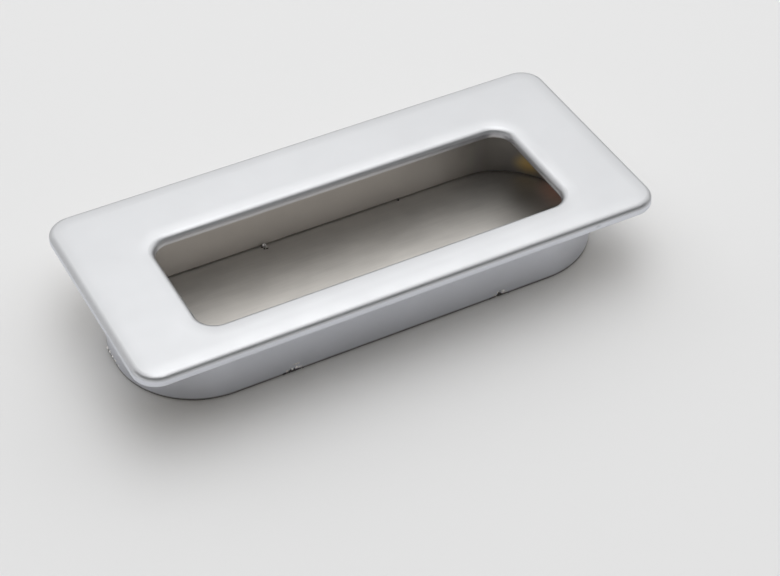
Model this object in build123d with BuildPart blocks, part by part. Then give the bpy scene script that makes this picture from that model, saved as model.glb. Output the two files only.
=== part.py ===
"""Recessed cabinet pull: a die-cast face plate with an undercut finger cup, closed by a staked floor plate.

Units are millimetres. The origin is the centre of the cup's underside, +X runs along the pull,
+Y points to the gripping edge at the back of the mouth, and +Z points out of the door.
"""
import os
from math import cos, radians, sin, tan

from build123d import *

# Face plate
face_length = 110.0
face_width = 50.0
face_thickness = 2.45
face_corner_radius = 5.0
face_lower_edge_radius = 0.3
overall_height = 18.0

# Soft edge of the face plate and of its mouth: a faint crown that takes a share of the front band's width
# and turns down to a slope, then a round
crown_share = 0.26
crown_slope = 7.0
edge_radius = 1.3
slope_spare = 0.02

# Cup wall below the face plate
cup_length = 103.0
cup_width = 36.0
cup_end_flat = 2.0
wall_thickness = 1.2
roof_thickness = 2.1

# Finger mouth through the face plate, close to the front wall
mouth_length = 78.2
mouth_width = 26.4
mouth_corner_radius = 4.0
front_lip = 0.2

# Step in the foot of the wall, and the floor plate that lies in it
rim_thickness = 0.6
floor_thickness = 0.8
floor_inset = 0.2
floor_clearance = 0.1
foot_chamfer = 0.25
foot_edge_radius = 0.3

# Staked points: a flattened stretch of the foot with a punched notch in it, and the tongue pushed in by it
stake_spacing = 45.6
end_stake_offset = 1.5
flat_length = 5.2
flat_depth = 0.15
flat_height = 0.7
flat_tip_length = 3.0
flat_tip_depth = 0.05
notch_width = 1.6
notch_depth = 0.45
notch_height = 1.3
notch_tip_share = 0.1
tongue_length = 4.0
tongue_reach = 0.45

# Levels and inner sizes that follow from the values above
face_underside = overall_height - face_thickness
roof_underside = overall_height - roof_thickness
step_height = floor_inset + floor_thickness
cup_corner_radius = (cup_width - cup_end_flat) / 2
hollow_length = cup_length - 2 * wall_thickness
hollow_width = cup_width - 2 * wall_thickness
hollow_corner_radius = cup_corner_radius - wall_thickness
front_band = (face_width - hollow_width) / 2 + front_lip
crown_radius = crown_share * front_band / sin(radians(crown_slope))
slope_length = (
    crown_radius * tan(radians(crown_slope) / 2)
    + edge_radius * tan(radians(90 - crown_slope) / 2)
    + slope_spare
)
slope_width = slope_length * cos(radians(crown_slope))
slope_drop = slope_length * sin(radians(crown_slope))
slope_foot = overall_height - slope_drop
step_length = cup_length - 2 * rim_thickness
step_width = cup_width - 2 * rim_thickness
step_corner_radius = cup_corner_radius - rim_thickness
mouth_centre_y = (mouth_width - hollow_width) / 2 + front_lip

# Each staked point stands on the outside of the wall, with its own X axis along the wall
# and its own Y axis pointing into the cup.
stake_planes = [
    Plane((side_x * stake_spacing / 2, side_y * cup_width / 2, 0), x_dir=(-side_y, 0, 0), z_dir=(0, 0, 1))
    for side_y in (-1, 1)
    for side_x in (-1, 1)
] + [
    Plane((side_x * cup_length / 2, end_stake_offset, 0), x_dir=(0, side_x, 0), z_dir=(0, 0, 1))
    for side_x in (-1, 1)
]

notch_corners = [(-notch_width / 2, 0), (0, -notch_depth), (notch_width / 2, 0), (0, notch_depth)]

os.makedirs("parts", exist_ok=True)


# Body: face plate, cup wall, hollow, mouth and staked points, cast as one piece
with BuildPart() as body:
    with BuildSketch(Plane.XY.offset(face_underside)):
        RectangleRounded(face_length, face_width, face_corner_radius)
    extrude(amount=face_thickness)
    fillet(body.faces().sort_by(Axis.Z)[0].edges(), face_lower_edge_radius)

    with BuildSketch():
        RectangleRounded(cup_length, cup_width, cup_corner_radius)
    extrude(amount=face_underside)
    fillet(body.faces().sort_by(Axis.Z)[0].edges(), foot_edge_radius)

    with BuildSketch():
        RectangleRounded(hollow_length, hollow_width, hollow_corner_radius)
    extrude(amount=roof_underside, mode=Mode.SUBTRACT)

    with BuildSketch():
        RectangleRounded(step_length, step_width, step_corner_radius)
    extrude(amount=step_height, mode=Mode.SUBTRACT)

    # The foot of the wall is eased where it meets the floor plate, which leaves the dark seam.
    step_face = body.faces().filter_by(Axis.Z).filter_by_position(Axis.Z, step_height, step_height)[0]
    chamfer(step_face.inner_wires()[0].edges(), foot_chamfer)

    with BuildSketch(Plane.XY.offset(roof_underside)):
        with Locations((0, mouth_centre_y)):
            RectangleRounded(mouth_length, mouth_width, mouth_corner_radius)
    extrude(amount=roof_thickness, mode=Mode.SUBTRACT)

    # The outline and the mouth get the same soft edge, which leaves only the middle of the face flat.
    face_top = body.faces().sort_by(Axis.Z)[-1]
    chamfer(face_top.edges(), slope_width, slope_drop, reference=face_top)
    fillet(body.faces().sort_by(Axis.Z)[-1].edges(), crown_radius)
    fillet(body.edges().filter_by_position(Axis.Z, slope_foot, slope_foot), edge_radius)

    for plane in stake_planes:
        with BuildSketch(plane):
            with Locations((0, rim_thickness)):
                SlotOverall(tongue_length, 2 * tongue_reach)
        extrude(amount=floor_inset)
    for plane in stake_planes:
        with BuildSketch(plane):
            Rectangle(flat_length, 2 * flat_depth)
        with BuildSketch(plane.offset(flat_height)):
            Rectangle(flat_tip_length, 2 * flat_tip_depth)
        loft(mode=Mode.SUBTRACT)
        with BuildSketch(plane):
            Polygon(*notch_corners, align=None)
        with BuildSketch(plane.offset(notch_height)):
            Polygon(*[(x * notch_tip_share, y * notch_tip_share) for x, y in notch_corners], align=None)
        loft(mode=Mode.SUBTRACT)
body.part.label = "body"


# Floor plate: a stamped sheet that lies against the step and closes the cup from below
with BuildPart() as floor_plate:
    with BuildSketch(Plane.XY.offset(floor_inset)):
        RectangleRounded(
            step_length - 2 * floor_clearance,
            step_width - 2 * floor_clearance,
            step_corner_radius - floor_clearance,
        )
    extrude(amount=floor_thickness)
floor_plate.part.label = "floor_plate"


export_step(body.part, "parts/body.step")
export_step(floor_plate.part, "parts/floor_plate.step")
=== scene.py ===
"""Recessed cabinet pull: its finishes, its staking burrs and debris, and a pale studio table.

Everything is in metres, in the part's own frame: +X along the pull, +Y to the gripping edge at the back of
the mouth, +Z out of the door, with the origin at the centre of the cup's underside.
"""

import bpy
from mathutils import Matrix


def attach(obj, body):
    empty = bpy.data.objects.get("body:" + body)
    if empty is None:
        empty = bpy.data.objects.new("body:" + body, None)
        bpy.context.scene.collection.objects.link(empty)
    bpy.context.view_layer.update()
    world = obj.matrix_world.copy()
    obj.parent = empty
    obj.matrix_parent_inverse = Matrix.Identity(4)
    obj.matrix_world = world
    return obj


bl_info = {
    "name": "Recessed Cabinet Pull",
    "version": (1, 0, 0),
    "blender": (4, 5, 0),
    "location": "3D View > Sidebar > Cabinet Pull",
    "description": "Finishes the recessed cabinet pull and sets it on a pale studio table",
    "category": "Object",
}

import math
import random

import bmesh
import bpy
from bpy.props import FloatProperty, FloatVectorProperty, PointerProperty
from mathutils import Matrix, Vector

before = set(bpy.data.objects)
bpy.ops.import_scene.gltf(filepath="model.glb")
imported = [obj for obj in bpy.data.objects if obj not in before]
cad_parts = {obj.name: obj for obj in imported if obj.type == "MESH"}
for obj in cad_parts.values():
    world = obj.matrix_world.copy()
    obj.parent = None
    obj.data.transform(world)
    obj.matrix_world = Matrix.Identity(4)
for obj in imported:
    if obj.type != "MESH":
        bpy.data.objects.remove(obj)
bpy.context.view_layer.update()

MM = 0.001
BODY = "root"
CASTING_SLOT = "satin_casting"
SHEET_SLOT = "satin_sheet"

# Sockets of the Mix node when it mixes colours, and when it mixes numbers
MIX_FACTOR, MIX_A, MIX_B, MIX_RESULT = 0, 6, 7, 2
MIX_NUMBER_A, MIX_NUMBER_B, MIX_NUMBER = 2, 3, 0

# Inputs of the Map Range node: the span that a noise mostly covers, and a fade from full to nothing
NOISE_SPAN = {"From Min": 0.3, "From Max": 0.7}
FADE_OUT = {"To Min": 1.0, "To Max": 0.0}

# The cup in plan: straight sides about a core, with the wall's faces at these distances from it.
# The core reaches far above the part, so that height adds nothing to the distance.
CUP_CORE = (34.5 * MM, 1.0 * MM, 1.0)
HOLLOW_RADIUS = 15.8 * MM
WALL_RADIUS = 17.0 * MM

# Heights above the cup's underside: the face plate's lower side and the roof of the hollow
SEAT_LEVEL = 15.55 * MM
ROOF_LEVEL = 15.9 * MM

# The staked points: the foot of the wall there, the way out of the wall, the burrs that staking raised
# and the dark lumps in the notch, which paint the shade inside it. A burr or a dark lump is given in
# millimetres: along the wall, out of it, up, then half its length, depth and height.
BURR_LEAN = math.radians(24.0)
STAKED_POINTS = (
    ((22.8, -18.0), (0.0, -1.0), (
        (0.92, 0.06, 1.18, 0.46, 0.17, 0.44), (-0.28, 0.00, 1.45, 0.16, 0.09, 0.42),
        (-0.85, 0.00, 0.95, 0.20, 0.09, 0.36), (1.75, 0.00, 0.78, 0.36, 0.09, 0.18),
    ), (
        (0.36, -0.12, 0.38, 1.05, 0.15, 0.36), (0.24, -0.12, 0.82, 0.56, 0.16, 0.54),
        (0.28, -0.12, 1.32, 0.26, 0.16, 0.52), (-1.90, -0.10, 0.30, 0.34, 0.12, 0.30),
        (2.35, -0.10, 0.29, 0.62, 0.12, 0.28),
    )),
    ((-22.8, -18.0), (0.0, -1.0), (
        (1.12, 0.05, 1.15, 0.32, 0.15, 0.34), (0.18, 0.02, 1.05, 0.22, 0.10, 0.38),
        (1.15, 0.00, 1.95, 1.00, 0.08, 0.20), (-0.85, 0.00, 0.92, 0.36, 0.09, 0.22),
        (1.95, 0.00, 0.88, 0.46, 0.09, 0.24),
    ), (
        (0.65, -0.12, 0.78, 0.26, 0.16, 0.66), (-0.30, -0.12, 0.54, 0.32, 0.16, 0.52),
        (-1.45, -0.10, 0.32, 0.52, 0.12, 0.32), (2.50, -0.10, 0.32, 0.34, 0.12, 0.32),
        (0.55, -0.11, 0.26, 1.70, 0.13, 0.26),
    )),
    ((-51.5, 1.5), (-1.0, 0.0), (
        (-2.35, -0.05, 1.00, 0.36, 0.12, 0.32), (-0.80, 0.02, 1.22, 0.42, 0.14, 0.34),
        (0.60, 0.02, 1.25, 0.38, 0.14, 0.34), (1.95, 0.00, 1.30, 0.44, 0.13, 0.34),
        (3.35, -0.06, 1.20, 0.46, 0.12, 0.30),
    ), (
        (-1.60, -0.10, 0.52, 0.42, 0.13, 0.42), (-0.05, -0.12, 0.55, 0.38, 0.16, 0.52),
        (1.25, -0.10, 0.50, 0.42, 0.13, 0.44), (2.60, -0.10, 0.60, 0.36, 0.13, 0.48),
    )),
    ((51.5, 1.5), (1.0, 0.0), (
        (0.60, 0.00, 1.10, 0.40, 0.12, 0.34), (-0.95, 0.00, 0.90, 0.36, 0.12, 0.28),
    ), (
        (0.00, -0.12, 0.55, 0.50, 0.16, 0.52), (1.30, -0.10, 0.30, 0.40, 0.12, 0.28),
    )),
    ((22.8, 18.0), (0.0, 1.0), (
        (-0.65, 0.00, 1.10, 0.40, 0.12, 0.34), (1.00, 0.00, 0.85, 0.34, 0.12, 0.28),
    ), (
        (0.10, -0.12, 0.55, 0.45, 0.16, 0.52), (-1.20, -0.10, 0.30, 0.40, 0.12, 0.28),
    )),
    ((-22.8, 18.0), (0.0, 1.0), (
        (0.60, 0.00, 1.15, 0.38, 0.12, 0.34), (-1.00, 0.00, 0.85, 0.38, 0.12, 0.28),
    ), (
        (-0.05, -0.12, 0.55, 0.48, 0.16, 0.52), (1.25, -0.10, 0.30, 0.40, 0.12, 0.28),
    )),
)

# Crumbs on the floor, in millimetres: the place, half the length, depth and height, then the tilt
# about the pull's length in degrees, and the seed of the crumb's shape
FLAKE_CRUMBS = (
    ((-12.15, 16.52, 1.36), (0.48, 0.36, 0.13), 39.0, 101),
    ((-11.75, 16.25, 1.06), (0.36, 0.34, 0.10), 0.0, 102),
)
# Dark crumbs: a dot at the seam, then three before the seam flake that paint its shadow
FLAKE_SHADOW_AND_GRIT_CRUMBS = (
    ((18.75, 16.55, 1.08), (0.26, 0.24, 0.14), 0.0, 103),
    ((-12.72, 16.35, 1.05), (0.22, 0.26, 0.10), 0.0, 104),
    ((-12.45, 15.75, 1.04), (0.22, 0.26, 0.08), 0.0, 106),
    ((-11.90, 15.55, 1.04), (0.36, 0.18, 0.08), 0.0, 107),
)
DUST_CRUMBS = (
    ((-18.15, 9.5, 1.05), (0.16, 0.12, 0.08), 0.0, 105),
)


def linear(hex_colour):
    """An sRGB hex colour such as 'D8DADF' as linear red, green and blue."""
    srgb = [int(hex_colour[i:i + 2], 16) / 255 for i in (0, 2, 4)]
    return tuple(c / 12.92 if c <= 0.04045 else ((c + 0.055) / 1.055) ** 2.4 for c in srgb)


def add_node(tree, kind, settings=None, inputs=None):
    """Add one node, with its settings, and each of its inputs set to a value or linked to a socket."""
    node = tree.nodes.new(kind)
    for name, value in (settings or {}).items():
        setattr(node, name, value)
    for socket, value in (inputs or {}).items():
        if isinstance(value, bpy.types.NodeSocket):
            tree.links.new(value, node.inputs[socket])
        else:
            node.inputs[socket].default_value = value
    return node


def new_material(name):
    """An empty node material with its output, ready for a surface."""
    material = bpy.data.materials.new(name)
    material.use_nodes = True
    material.node_tree.nodes.clear()
    output = add_node(material.node_tree, "ShaderNodeOutputMaterial")
    return material, material.node_tree, output


def spot(tree, place, centre, reach):
    """A soft-edged spot: 1 at its centre and 0 at its reach along each axis, both in millimetres."""
    away = add_node(tree, "ShaderNodeVectorMath", {"operation": "SUBTRACT"}, {
        0: place, 1: [c * MM for c in centre],
    })
    share = add_node(tree, "ShaderNodeVectorMath", {"operation": "DIVIDE"}, {
        0: away.outputs[0], 1: [r * MM for r in reach],
    })
    distance = add_node(tree, "ShaderNodeVectorMath", {"operation": "LENGTH"}, {0: share.outputs[0]})
    return add_node(tree, "ShaderNodeMapRange", {"interpolation_type": "SMOOTHSTEP"}, {
        "Value": distance.outputs["Value"], "From Min": 0.0, "From Max": 1.0, **FADE_OUT,
    }).outputs["Result"]


def crumb(bm, centre, turn, half_sizes, seed):
    """Add a torn, uneven crumb to a bmesh. Its place and half sizes are in millimetres."""
    jitter = random.Random(seed)
    verts = bmesh.ops.create_icosphere(bm, subdivisions=2, radius=1.0)["verts"]
    for vert in verts:
        vert.co *= jitter.uniform(0.72, 1.12)
    bmesh.ops.smooth_vert(bm, verts=verts, factor=0.25, use_axis_x=True, use_axis_y=True, use_axis_z=True)
    size = Matrix.Diagonal((*(half * MM for half in half_sizes), 1.0))
    bmesh.ops.transform(bm, matrix=Matrix.Translation(centre * MM) @ turn.to_4x4() @ size, verts=verts)


def speckled(name, base_colour, grain, darkest, palest, metallic, roughness, span=NOISE_SPAN):
    """A material whose colour is broken up by a speckle of this grain, between two shares of the colour."""
    material, tree, output = new_material(name)
    place = add_node(tree, "ShaderNodeTexCoord").outputs["Object"]
    speckle = add_node(tree, "ShaderNodeTexNoise", {}, {"Vector": place, "Scale": 1 / grain, "Detail": 1.0})
    tone = add_node(tree, "ShaderNodeMapRange", {}, {
        "Value": speckle.outputs["Fac"], **span, "To Min": darkest, "To Max": palest,
    })
    colour = add_node(tree, "ShaderNodeVectorMath", {"operation": "SCALE"}, {
        0: base_colour, "Scale": tone.outputs["Result"],
    })
    surface = add_node(tree, "ShaderNodeBsdfPrincipled", {}, {
        "Base Color": colour.outputs[0], "Metallic": metallic, "Roughness": roughness,
    })
    tree.links.new(surface.outputs[0], output.inputs["Surface"])
    return material


def dark_grit_and_shade(grit_and_shade_colour):
    """The dark, dull material of the notches and the floor: painted shade in the notches and before the seam
    flake, and a dark dot at the seam. Nearly black and dull, with a fine speckle.
    """
    # Dried grease with swarf in it: nearly black and dull, with a fine speckle.
    shared = bpy.data.materials.get("dark_grit_and_painted_shade")
    return shared or speckled("dark_grit_and_painted_shade", grit_and_shade_colour, 0.15 * MM, 0.7, 1.4, 0.0, 0.75)


def add_piece(name, bm, material):
    """Turn a bmesh into a piece that rides on the pull, with its finish."""
    bmesh.ops.recalc_face_normals(bm, faces=bm.faces)
    mesh = bpy.data.meshes.new(name)
    bm.to_mesh(mesh)
    bm.free()
    mesh.materials.append(material)
    piece = bpy.data.objects.new(name, mesh)
    bpy.context.scene.collection.objects.link(piece)
    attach(piece, BODY)


class CastingFinish(bpy.types.PropertyGroup):
    """The plated finish of the die-cast body."""

    # The face and the sides are one plating: the sides' colour is brighter as painted light, for the light
    # that the rim and the outside of the cup lack.
    plate_colour: FloatVectorProperty(
        name="Plating", description="Colour of the satin plating on the face, dulled by hands",
        subtype="COLOR", default=linear("C1C2C4"),
    )
    side_colour_painted_bright: FloatVectorProperty(
        name="Sides", description="Colour of the unrubbed plating on the rim and the outside of the cup",
        subtype="COLOR", default=linear("DADCE2"),
    )
    seat_colour: FloatVectorProperty(
        name="Seat", description="Colour under the face plate, where warmer nickel shows",
        subtype="COLOR", default=linear("CDC3B0"),
    )
    hollow_colour: FloatVectorProperty(
        name="Hollow", description="Colour of the thin, warmer plating inside the cup",
        subtype="COLOR", default=linear("C0BCB8"),
    )
    tarnish_colour: FloatVectorProperty(
        name="Tarnish", description="Colour of the yellowed plating in the closed end of the cup",
        subtype="COLOR", default=linear("D9BC80"),
    )
    brown_colour: FloatVectorProperty(
        name="Brown tarnish", description="Colour of the red-brown plating next to the yellowed patch",
        subtype="COLOR", default=linear("FFC8B0"),
    )
    # Painted shade: the dark colour along the outer foot of the wall and in the seam with the floor plate.
    foot_and_seam_shade_colour: FloatVectorProperty(
        name="Bare zinc", description="Colour of the zinc where staking and handling took the plating off",
        subtype="COLOR", default=linear("7C7874"),
    )
    roughness: FloatProperty(
        name="Roughness", description="How far the satin plating spreads a reflection",
        subtype="FACTOR", default=0.42, min=0.0, max=1.0,
    )


class SheetFinish(bpy.types.PropertyGroup):
    """The finish of the stamped floor plate."""

    sheet_colour: FloatVectorProperty(
        name="Sheet", description="Colour of the rolled sheet of the floor plate",
        subtype="COLOR", default=linear("E0DDD8"),
    )
    stain_colour: FloatVectorProperty(
        name="Stain", description="Colour of the brown stain in the closed end of the floor",
        subtype="COLOR", default=linear("F0C8B4"),
    )
    roughness: FloatProperty(
        name="Roughness", description="How far the rolled sheet spreads a reflection",
        subtype="FACTOR", default=0.58, min=0.0, max=1.0,
    )


class DebrisFinish(bpy.types.PropertyGroup):
    """Burrs, dust, grit, and dark lumps that paint shade on the pull."""

    burr_colour: FloatVectorProperty(
        name="Burr", description="Colour of the freshly torn zinc of a staking burr",
        subtype="COLOR", default=linear("F0EEEC"),
    )
    # The same dark colour paints the shade in the staked notches and the seam flake's shadow.
    grit_and_shade_colour: FloatVectorProperty(
        name="Grit", description="Colour of the dark grit on the floor",
        subtype="COLOR", default=linear("45413F"),
    )
    dust_colour: FloatVectorProperty(
        name="Dust", description="Colour of the pale dust speck on the floor",
        subtype="COLOR", default=linear("DEDAD2"),
    )


class StudioStage(bpy.types.PropertyGroup):
    """The table, the light and the camera."""

    table_colour: FloatVectorProperty(
        name="Table", description="Colour of the table top",
        subtype="COLOR", default=linear("E2E2E2"),
    )
    softbox_watts: FloatProperty(
        name="Softbox", description="Power of the large softbox above the pull",
        default=7.3, min=0.0,
    )
    core_watts: FloatProperty(
        name="Softbox core", description="Power of the brighter strip down the middle of the softbox",
        default=2.64, min=0.0,
    )
    softbox_height: FloatProperty(
        name="Softbox height", description="Height of the softbox above the table",
        unit="LENGTH", default=0.8,
    )
    softbox_width: FloatProperty(
        name="Softbox width", description="Width of the softbox across the view",
        unit="LENGTH", default=1.66, min=0.0,
    )
    softbox_length: FloatProperty(
        name="Softbox length", description="Length of the softbox and its core along the view",
        unit="LENGTH", default=1.4, min=0.0,
    )
    softbox_setback: FloatProperty(
        name="Softbox setback", description="Distance of the softbox's middle behind the pull",
        unit="LENGTH", default=0.2,
    )
    core_width: FloatProperty(
        name="Core width", description="Width of the brighter strip across the view",
        unit="LENGTH", default=0.5, min=0.0,
    )
    core_drop: FloatProperty(
        name="Core drop", description="Distance of the brighter strip below the softbox",
        unit="LENGTH", default=10.0 * MM,
    )
    wall_colour: FloatVectorProperty(
        name="Wall", description="Light from the pale wall behind the table",
        subtype="COLOR", default=linear("FFFFFF"),
    )
    room_colour: FloatVectorProperty(
        name="Room", description="Light from the darker room behind the camera",
        subtype="COLOR", default=linear("3A3A3A"),
    )
    room_strength: FloatProperty(
        name="Room strength", description="Strength of the light from the wall and the room",
        default=1.2, min=0.0,
    )
    camera_target: FloatVectorProperty(
        name="Target", description="Point on the face that the camera looks at",
        subtype="TRANSLATION", unit="LENGTH", default=(-4.25 * MM, -23.105 * MM, 18.0 * MM),
    )
    camera_azimuth: FloatProperty(
        name="Azimuth", description="Turn of the camera about the vertical, from straight in front",
        subtype="ANGLE", default=math.radians(-27.984),
    )
    camera_elevation: FloatProperty(
        name="Elevation", description="Height of the camera above the horizon",
        subtype="ANGLE", default=math.radians(42.318),
    )
    camera_distance: FloatProperty(
        name="Distance", description="Distance of the camera from its target",
        unit="LENGTH", default=375.506 * MM,
    )
    camera_lens: FloatProperty(
        name="Lens", description="Focal length of the camera, in millimetres on a 36 mm sensor",
        default=93.2, min=1.0,
    )


class PULL_OT_finish_casting(bpy.types.Operator):
    """Give the die-cast body its satin plating"""

    bl_idname = "pull.finish_casting"
    bl_label = "Finish Casting"

    def execute(self, context):
        finish = context.scene.pull_casting
        # Satin-plated zinc die-casting, blasted before plating: an even, soft silver that blurs reflections.
        # Inside the cup and under the face plate the plating is warmer. The rim and sides are painted
        # brighter than the face as painted light; the closed ends of the cup, the foot of the wall and the
        # seam with the floor plate are painted darker as painted shade.
        material, tree, output = new_material("satin_plated_die_casting")
        place = add_node(tree, "ShaderNodeTexCoord").outputs["Object"]
        height = add_node(tree, "ShaderNodeSeparateXYZ", {}, {0: place}).outputs["Z"]

        # Distance from the cup's core in plan, which tells the inside of the wall from the outside
        from_middle = add_node(tree, "ShaderNodeVectorMath", {"operation": "ABSOLUTE"}, {0: place}).outputs[0]
        outside = add_node(tree, "ShaderNodeVectorMath", {"operation": "SUBTRACT"}, {
            0: from_middle, 1: CUP_CORE,
        })
        outside = add_node(tree, "ShaderNodeVectorMath", {"operation": "MAXIMUM"}, {
            0: outside.outputs[0], 1: (0.0, 0.0, 0.0),
        })
        radius = add_node(tree, "ShaderNodeVectorMath", {"operation": "LENGTH"}, {
            0: outside.outputs[0],
        }).outputs["Value"]
        within_wall = add_node(tree, "ShaderNodeMapRange", {}, {
            "Value": radius, "From Min": HOLLOW_RADIUS + 0.3 * MM, "From Max": HOLLOW_RADIUS + 0.6 * MM,
            **FADE_OUT,
        }).outputs["Result"]
        below_face = add_node(tree, "ShaderNodeMapRange", {}, {
            "Value": height, "From Min": ROOF_LEVEL - 0.1 * MM, "From Max": ROOF_LEVEL + 0.3 * MM, **FADE_OUT,
        }).outputs["Result"]
        in_hollow = add_node(tree, "ShaderNodeMath", {"operation": "MULTIPLY"}, {
            0: within_wall, 1: below_face,
        }).outputs[0]

        # Slow drift of the plating's tone over 14 mm, and of its sheen over 6 mm
        drift = add_node(tree, "ShaderNodeTexNoise", {}, {
            "Vector": place, "Scale": 1 / (14 * MM), "Detail": 2.0,
        })
        tone = add_node(tree, "ShaderNodeMapRange", {}, {
            "Value": drift.outputs["Fac"], **NOISE_SPAN, "To Min": 0.985, "To Max": 1.015,
        }).outputs["Result"]
        sheen = add_node(tree, "ShaderNodeTexNoise", {}, {
            "Vector": place, "Scale": 1 / (6 * MM), "Detail": 3.0,
        })
        roughness = add_node(tree, "ShaderNodeMapRange", {}, {
            "Value": sheen.outputs["Fac"], **NOISE_SPAN,
            "To Min": finish.roughness - 0.025, "To Max": finish.roughness + 0.025,
        }).outputs["Result"]

        # The face's rounded edge passes into the rim and sides, whose colour is painted brighter: painted
        # light for the light they lack
        side = add_node(tree, "ShaderNodeMapRange", {"interpolation_type": "SMOOTHSTEP"}, {
            "Value": height, "From Min": 16.6 * MM, "From Max": 17.2 * MM, **FADE_OUT,
        }).outputs["Result"]
        colour = add_node(tree, "ShaderNodeMix", {"data_type": "RGBA"}, {
            MIX_FACTOR: side, MIX_A: (*finish.plate_colour, 1.0), MIX_B: (*finish.side_colour_painted_bright, 1.0),
        }).outputs[MIX_RESULT]
        # The seat under the face plate, outside the wall and below the rim, where warmer nickel shows
        beyond_wall = add_node(tree, "ShaderNodeMapRange", {}, {
            "Value": radius, "From Min": WALL_RADIUS + 0.05 * MM, "From Max": WALL_RADIUS + 0.25 * MM,
            "To Min": 0.0, "To Max": 1.0,
        }).outputs["Result"]
        below_rim = add_node(tree, "ShaderNodeMapRange", {}, {
            "Value": height, "From Min": SEAT_LEVEL + 0.05 * MM, "From Max": SEAT_LEVEL + 0.2 * MM,
            **FADE_OUT,
        }).outputs["Result"]
        seat = add_node(tree, "ShaderNodeMath", {"operation": "MULTIPLY"}, {0: beyond_wall, 1: below_rim})
        colour = add_node(tree, "ShaderNodeMix", {"data_type": "RGBA"}, {
            MIX_FACTOR: seat.outputs[0], MIX_A: colour, MIX_B: (*finish.seat_colour, 1.0),
        }).outputs[MIX_RESULT]
        # The closed ends of the hollow are painted darker: painted shade for the deep pockets under the roof
        along = add_node(tree, "ShaderNodeSeparateXYZ", {}, {0: from_middle}).outputs["X"]
        thin = add_node(tree, "ShaderNodeMapRange", {"interpolation_type": "SMOOTHSTEP"}, {
            "Value": along, "From Min": 33.0 * MM, "From Max": 40.0 * MM, "To Min": 1.0, "To Max": 0.47,
        }).outputs["Result"]
        inner_with_end_shade = add_node(tree, "ShaderNodeVectorMath", {"operation": "SCALE"}, {
            0: finish.hollow_colour, "Scale": thin,
        }).outputs[0]
        colour = add_node(tree, "ShaderNodeMix", {"data_type": "RGBA"}, {
            MIX_FACTOR: in_hollow, MIX_A: colour, MIX_B: inner_with_end_shade,
        }).outputs[MIX_RESULT]
        # Tarnish on the closed right end of the hollow, yellow at its back and red-brown further round
        for centre, reach, tint in (
            ((46.7, 10.8, 4.0), (4.0, 4.6, 3.6), finish.tarnish_colour),
            ((49.8, 4.6, 4.0), (3.5, 5.5, 6.0), finish.brown_colour),
        ):
            tarnish = spot(tree, place, centre, reach)
            tarnish = add_node(tree, "ShaderNodeMath", {"operation": "MULTIPLY"}, {0: tarnish, 1: in_hollow})
            colour = add_node(tree, "ShaderNodeMix", {"data_type": "RGBA"}, {
                MIX_FACTOR: tarnish.outputs[0], MIX_A: colour, MIX_B: (*tint, 1.0),
            }).outputs[MIX_RESULT]
        # A dull rubbed streak across the right of the face, and a scuff three times as dull on the front rim
        streak = spot(tree, place, (41.0, -2.2, 18.0), (1.4, 5.0, 1.0))
        scuff = spot(tree, place, (40.4, -25.0, 16.6), (1.0, 0.6, 0.45))
        rubbed = add_node(tree, "ShaderNodeMath", {"operation": "MULTIPLY_ADD"}, {
            0: scuff, 1: 3.0, 2: streak,
        })
        dull = add_node(tree, "ShaderNodeMapRange", {}, {
            "Value": rubbed.outputs[0], "From Min": 0.0, "From Max": 3.0, "To Min": 1.0, "To Max": 0.82,
        }).outputs["Result"]
        tone = add_node(tree, "ShaderNodeMath", {"operation": "MULTIPLY"}, {0: tone, 1: dull}).outputs[0]
        colour = add_node(tree, "ShaderNodeVectorMath", {"operation": "SCALE"}, {
            0: colour, "Scale": tone,
        }).outputs[0]
        # Painted shade: dark colour along the foot of the wall outside, where it stands on the table, and in
        # the seam with the floor plate
        foot = add_node(tree, "ShaderNodeMapRange", {}, {
            "Value": height, "From Min": 0.30 * MM, "From Max": 0.70 * MM, **FADE_OUT,
        }).outputs["Result"]
        seam = add_node(tree, "ShaderNodeMapRange", {}, {
            "Value": height, "From Min": 1.20 * MM, "From Max": 1.40 * MM, **FADE_OUT,
        }).outputs["Result"]
        painted_foot_shade = add_node(tree, "ShaderNodeMix", {}, {
            MIX_FACTOR: within_wall, MIX_NUMBER_A: foot, MIX_NUMBER_B: seam,
        }).outputs[MIX_NUMBER]
        colour = add_node(tree, "ShaderNodeMix", {"data_type": "RGBA"}, {
            MIX_FACTOR: painted_foot_shade, MIX_A: colour, MIX_B: (*finish.foot_and_seam_shade_colour, 1.0),
        }).outputs[MIX_RESULT]

        # Blasted grain under the plating, about 0.1 mm in life and drawn at 0.3 mm so that it shows at all
        grain = add_node(tree, "ShaderNodeTexNoise", {}, {
            "Vector": place, "Scale": 1 / (0.3 * MM), "Detail": 2.0,
        })
        bump = add_node(tree, "ShaderNodeBump", {}, {
            "Height": grain.outputs["Fac"], "Strength": 1.0, "Distance": 0.003 * MM,
        })
        surface = add_node(tree, "ShaderNodeBsdfPrincipled", {}, {
            "Base Color": colour, "Metallic": 1.0, "Roughness": roughness, "Normal": bump.outputs["Normal"],
        })
        tree.links.new(surface.outputs[0], output.inputs["Surface"])
        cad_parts["body"].material_slots[0].material = material
        return {"FINISHED"}


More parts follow.
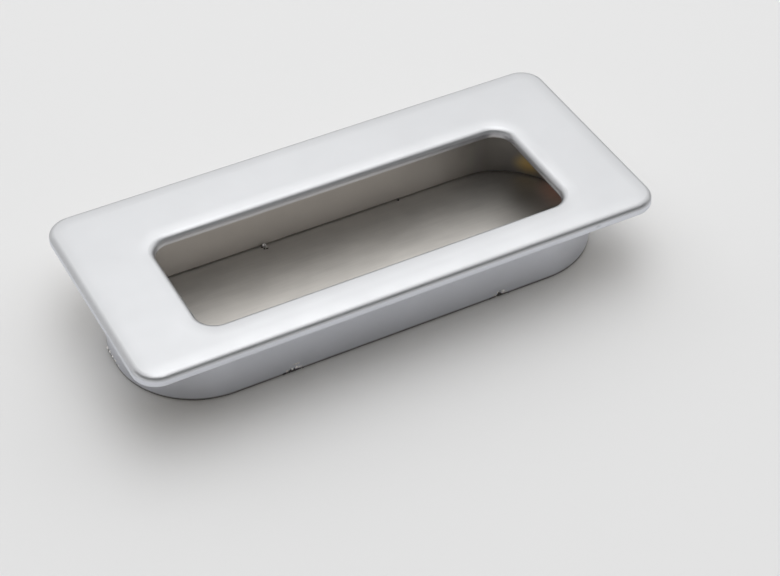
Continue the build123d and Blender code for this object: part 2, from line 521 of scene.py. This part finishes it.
class PULL_OT_finish_floor_plate(bpy.types.Operator):
    """Give the stamped floor plate its rolled-sheet finish"""

    bl_idname = "pull.finish_floor_plate"
    bl_label = "Finish Floor Plate"

    def execute(self, context):
        finish = context.scene.pull_sheet
        # Rolled sheet, stamped and thinly plated satin: dull, warm grey, with faint rolling lines along it.
        material, tree, output = new_material("satin_plated_rolled_sheet")
        place = add_node(tree, "ShaderNodeTexCoord").outputs["Object"]

        # Rolling lines, about 0.1 mm apart in life and drawn at 0.5 mm so that they show
        stretched = add_node(tree, "ShaderNodeMapping", {}, {
            "Vector": place, "Scale": (1 / (9 * MM), 1 / (0.5 * MM), 1 / (9 * MM)),
        })
        lines = add_node(tree, "ShaderNodeTexNoise", {}, {
            "Vector": stretched.outputs["Vector"], "Scale": 1.0, "Detail": 3.0,
        }).outputs["Fac"]
        # Slow drift of the plating's tone over 7 mm
        drift = add_node(tree, "ShaderNodeTexNoise", {}, {
            "Vector": place, "Scale": 1 / (7 * MM), "Detail": 3.0,
        })
        tone = add_node(tree, "ShaderNodeMapRange", {}, {
            "Value": drift.outputs["Fac"], **NOISE_SPAN, "To Min": 0.97, "To Max": 1.03,
        }).outputs["Result"]
        line_tone = add_node(tree, "ShaderNodeMapRange", {}, {
            "Value": lines, **NOISE_SPAN, "To Min": 0.97, "To Max": 1.03,
        }).outputs["Result"]
        tone = add_node(tree, "ShaderNodeMath", {"operation": "MULTIPLY"}, {0: tone, 1: line_tone}).outputs[0]
        roughness = add_node(tree, "ShaderNodeMapRange", {}, {
            "Value": lines, **NOISE_SPAN,
            "To Min": finish.roughness - 0.04, "To Max": finish.roughness + 0.04,
        }).outputs["Result"]

        # A matt brown stain in the closed right end, and before it the floor is darker, on the upper side
        # only
        stain = spot(tree, place, (50.5, 3.0, 1.0), (6.6, 8.5, 0.75))
        darker_floor_patch = spot(tree, place, (42.6, 4.8, 1.0), (6.0, 7.5, 0.75))
        dull = add_node(tree, "ShaderNodeMapRange", {}, {
            "Value": darker_floor_patch, "From Min": 0.0, "From Max": 1.0, "To Min": 1.0, "To Max": 0.72,
        }).outputs["Result"]
        tone = add_node(tree, "ShaderNodeMath", {"operation": "MULTIPLY"}, {0: tone, 1: dull}).outputs[0]
        metal_share = add_node(tree, "ShaderNodeMapRange", {}, {
            "Value": stain, "From Min": 0.0, "From Max": 1.0, **FADE_OUT,
        }).outputs["Result"]
        colour = add_node(tree, "ShaderNodeMix", {"data_type": "RGBA"}, {
            MIX_FACTOR: stain, MIX_A: (*finish.sheet_colour, 1.0), MIX_B: (*finish.stain_colour, 1.0),
        }).outputs[MIX_RESULT]
        colour = add_node(tree, "ShaderNodeVectorMath", {"operation": "SCALE"}, {
            0: colour, "Scale": tone,
        }).outputs[0]
        bump = add_node(tree, "ShaderNodeBump", {}, {
            "Height": lines, "Strength": 1.0, "Distance": 0.004 * MM,
        })
        surface = add_node(tree, "ShaderNodeBsdfPrincipled", {}, {
            "Base Color": colour, "Metallic": metal_share, "Roughness": roughness,
            "Normal": bump.outputs["Normal"],
        })
        tree.links.new(surface.outputs[0], output.inputs["Surface"])
        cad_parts["floor_plate"].material_slots[0].material = material
        return {"FINISHED"}


class PULL_OT_add_staking_burrs(bpy.types.Operator):
    """Add the torn burrs that staking raised along the foot of the wall, and dark lumps in the notches that
    paint their shade
    """

    bl_idname = "pull.add_staking_burrs"
    bl_label = "Add Staking Burrs"

    def execute(self, context):
        finish = context.scene.pull_debris
        # Freshly torn zinc: pale and glittery, with some facets darker than others.
        torn_zinc = speckled(
            "torn_zinc", finish.burr_colour, 0.25 * MM, 0.75, 1.1, 1.0, 0.35,
            span={"From Min": 0.35, "From Max": 0.65},
        )

        # Each burr leans back from the wall, so that its flat side catches the light from low in front.
        burrs, notch_shade = bmesh.new(), bmesh.new()
        seed = 0
        for foot, normal, raised, shade_lumps in STAKED_POINTS:
            out = Vector((*normal, 0.0))
            along = Vector((-normal[1], normal[0], 0.0))
            upright = Matrix((along, out, Vector((0.0, 0.0, 1.0)))).transposed()
            leaning = Matrix.Rotation(-BURR_LEAN, 3, along) @ upright
            for bm, turn, lumps in ((burrs, leaning, raised), (notch_shade, upright, shade_lumps)):
                for run, depth, rise, *half_sizes in lumps:
                    centre = Vector((*foot, 0.0)) + along * run + out * depth + Vector((0.0, 0.0, rise))
                    crumb(bm, centre, turn, half_sizes, seed)
                    seed += 1
        add_piece("staking_burrs", burrs, torn_zinc)
        # Dark lumps in each notch: painted shade for the notch's shadowed inside.
        add_piece("notch_painted_shade", notch_shade, dark_grit_and_shade(finish.grit_and_shade_colour))
        return {"FINISHED"}


class PULL_OT_add_floor_debris(bpy.types.Operator):
    """Add the flake in the seam, dark crumbs that paint its shadow, a dark dot at the seam and the dust speck
    on the floor plate
    """

    bl_idname = "pull.add_floor_debris"
    bl_label = "Add Floor Debris"

    def execute(self, context):
        finish = context.scene.pull_debris
        # A flake of lifted plating, curled up from the seam: bright metal that catches light from the mouth.
        flake, tree, output = new_material("lifted_plating_flake")
        place = add_node(tree, "ShaderNodeTexCoord").outputs["Object"]
        mottle = add_node(tree, "ShaderNodeTexNoise", {}, {
            "Vector": place, "Scale": 1 / (0.3 * MM), "Detail": 1.0,
        })
        roughness = add_node(tree, "ShaderNodeMapRange", {}, {
            "Value": mottle.outputs["Fac"], **NOISE_SPAN, "To Min": 0.28, "To Max": 0.42,
        })
        surface = add_node(tree, "ShaderNodeBsdfPrincipled", {}, {
            "Base Color": (*finish.burr_colour, 1.0), "Metallic": 1.0,
            "Roughness": roughness.outputs["Result"],
        })
        tree.links.new(surface.outputs[0], output.inputs["Surface"])
        # A speck of pale dust: soft and matt, with a little mottling.
        dust = speckled("pale_dust", finish.dust_colour, 0.1 * MM, 0.85, 1.1, 0.0, 0.95)

        # The dark crumbs are painted shadow of the seam flake, beside one dark dot at the seam.
        for name, crumbs, material, slot in (
            ("seam_flake", FLAKE_CRUMBS, flake, CASTING_SLOT),
            ("floor_grit_and_flake_shadow", FLAKE_SHADOW_AND_GRIT_CRUMBS, dark_grit_and_shade(finish.grit_and_shade_colour), SHEET_SLOT),
            ("dust_speck", DUST_CRUMBS, dust, SHEET_SLOT),
        ):
            bm = bmesh.new()
            for centre, half_sizes, tilt, seed in crumbs:
                crumb(bm, Vector(centre), Matrix.Rotation(math.radians(tilt), 3, "X"), half_sizes, seed)
            add_piece(name, bm, material)
        return {"FINISHED"}


class PULL_OT_set_stage(bpy.types.Operator):
    """Set the pull on a pale table under soft light, with the camera in front of it"""

    bl_idname = "pull.set_stage"
    bl_label = "Set Stage"

    def execute(self, context):
        scene = context.scene
        stage = scene.pull_stage
        azimuth, elevation = stage.camera_azimuth, stage.camera_elevation
        ahead = Vector((-math.sin(azimuth), math.cos(azimuth), 0.0))
        left = Vector((-math.cos(azimuth), -math.sin(azimuth), 0.0))

        mesh = bpy.data.meshes.new("table_top")
        bm = bmesh.new()
        bmesh.ops.create_grid(bm, x_segments=1, y_segments=1, size=2.0)
        bm.to_mesh(mesh)
        bm.free()
        table = bpy.data.objects.new("table_top", mesh)
        scene.collection.objects.link(table)
        # Matt white laminate: a plain pale surface that only shows shadows.
        material, tree, output = new_material("matt_white_laminate")
        surface = add_node(tree, "ShaderNodeBsdfDiffuse", {}, {"Color": (*stage.table_colour, 1.0)})
        tree.links.new(surface.outputs[0], output.inputs["Surface"])
        mesh.materials.append(material)

        # One large softbox overhead, reaching further behind the pull than in front of it. Its brighter core
        # hangs a little lower, because a light in the same plane would be lost in it.
        for name, width, drop, watts in (
            ("softbox", stage.softbox_width, 0.0, stage.softbox_watts),
            ("softbox_core", stage.core_width, stage.core_drop, stage.core_watts),
        ):
            light = bpy.data.lights.new(name, "AREA")
            light.shape = "RECTANGLE"
            light.size = width
            light.size_y = stage.softbox_length
            light.energy = watts
            softbox = bpy.data.objects.new(name, light)
            overhead = Vector((0.0, 0.0, stage.softbox_height - drop))
            softbox.location = ahead * stage.softbox_setback + overhead
            softbox.rotation_euler = (0.0, 0.0, azimuth)
            scene.collection.objects.link(softbox)

        # The room: a pale wall behind the table, a dim room elsewhere, and low round the table a pale band,
        # which is weaker behind it and stronger to the left
        world = bpy.data.worlds.new("room")
        world.use_nodes = True
        tree = world.node_tree
        direction = add_node(tree, "ShaderNodeTexCoord").outputs["Generated"]
        rise = add_node(tree, "ShaderNodeSeparateXYZ", {}, {0: direction}).outputs["Z"]
        facing = add_node(tree, "ShaderNodeVectorMath", {"operation": "DOT_PRODUCT"}, {
            0: direction, 1: ahead,
        })
        behind = add_node(tree, "ShaderNodeMapRange", {"interpolation_type": "SMOOTHSTEP"}, {
            "Value": facing.outputs["Value"], "From Min": -0.1, "From Max": 0.4, "To Min": 0.0, "To Max": 1.0,
        }).outputs["Result"]
        wall_top = add_node(tree, "ShaderNodeMapRange", {"interpolation_type": "SMOOTHSTEP"}, {
            "Value": rise, "From Min": 0.55, "From Max": 0.68, **FADE_OUT,
        }).outputs["Result"]
        low = add_node(tree, "ShaderNodeMapRange", {"interpolation_type": "SMOOTHSTEP"}, {
            "Value": rise, "From Min": 0.16, "From Max": 0.26, **FADE_OUT,
        }).outputs["Result"]
        wall = add_node(tree, "ShaderNodeMath", {"operation": "MULTIPLY"}, {
            0: behind, 1: wall_top,
        }).outputs[0]
        band = add_node(tree, "ShaderNodeMapRange", {}, {
            "Value": behind, "From Min": 0.0, "From Max": 1.0, "To Min": 0.95, "To Max": 0.45,
        }).outputs["Result"]
        aside = add_node(tree, "ShaderNodeVectorMath", {"operation": "DOT_PRODUCT"}, {0: direction, 1: left})
        lean = add_node(tree, "ShaderNodeMapRange", {}, {
            "Value": aside.outputs["Value"], "From Min": -1.0, "From Max": 1.0, "To Min": 0.5, "To Max": 1.5,
        }).outputs["Result"]
        band = add_node(tree, "ShaderNodeMath", {"operation": "MULTIPLY"}, {0: band, 1: lean}).outputs[0]
        upper = add_node(tree, "ShaderNodeMix", {"data_type": "RGBA"}, {
            MIX_FACTOR: wall, MIX_A: (*stage.room_colour, 1.0), MIX_B: (*stage.wall_colour, 1.0),
        }).outputs[MIX_RESULT]
        lower = add_node(tree, "ShaderNodeVectorMath", {"operation": "SCALE"}, {
            0: stage.wall_colour, "Scale": band,
        })
        colour = add_node(tree, "ShaderNodeMix", {"data_type": "RGBA"}, {
            MIX_FACTOR: low, MIX_A: upper, MIX_B: lower.outputs[0],
        })
        background = tree.nodes["Background"]
        tree.links.new(colour.outputs[MIX_RESULT], background.inputs["Color"])
        background.inputs["Strength"].default_value = stage.room_strength
        scene.world = world

        lens = bpy.data.cameras.new("camera")
        lens.sensor_fit = "HORIZONTAL"
        lens.sensor_width = 36.0
        lens.lens = stage.camera_lens
        lens.clip_start = 0.01
        camera = bpy.data.objects.new("camera", lens)
        back = Vector((0.0, 0.0, math.sin(elevation))) - ahead * math.cos(elevation)
        camera.location = Vector(stage.camera_target) + back * stage.camera_distance
        camera.rotation_euler = (-back).to_track_quat("-Z", "Y").to_euler()
        scene.collection.objects.link(camera)
        scene.camera = camera
        scene.view_settings.view_transform = "Standard"
        return {"FINISHED"}


class PULL_PT_sidebar(bpy.types.Panel):
    """The pull's finishes and stage, with a button for each step"""

    bl_idname = "PULL_PT_sidebar"
    bl_label = "Cabinet Pull"
    bl_space_type = "VIEW_3D"
    bl_region_type = "UI"
    bl_category = "Cabinet Pull"

    def draw(self, context):
        scene = context.scene
        for group in (scene.pull_casting, scene.pull_sheet, scene.pull_debris, scene.pull_stage):
            for name in group.__annotations__:
                self.layout.prop(group, name)
        for operator in OPERATORS:
            self.layout.operator(operator.bl_idname)


OPERATORS = (
    PULL_OT_finish_casting,
    PULL_OT_finish_floor_plate,
    PULL_OT_add_staking_burrs,
    PULL_OT_add_floor_debris,
    PULL_OT_set_stage,
)
CLASSES = (CastingFinish, SheetFinish, DebrisFinish, StudioStage, *OPERATORS, PULL_PT_sidebar)


def register():
    for cls in CLASSES:
        bpy.utils.register_class(cls)
    bpy.types.Scene.pull_casting = PointerProperty(type=CastingFinish)
    bpy.types.Scene.pull_sheet = PointerProperty(type=SheetFinish)
    bpy.types.Scene.pull_debris = PointerProperty(type=DebrisFinish)
    bpy.types.Scene.pull_stage = PointerProperty(type=StudioStage)


def unregister():
    del bpy.types.Scene.pull_stage
    del bpy.types.Scene.pull_debris
    del bpy.types.Scene.pull_sheet
    del bpy.types.Scene.pull_casting
    for cls in reversed(CLASSES):
        bpy.utils.unregister_class(cls)


def main():
    """Run every step in order."""
    register()
    bpy.ops.pull.finish_casting()
    bpy.ops.pull.finish_floor_plate()
    bpy.ops.pull.add_staking_burrs()
    bpy.ops.pull.add_floor_debris()
    bpy.ops.pull.set_stage()


if __name__ == "__main__":
    main()
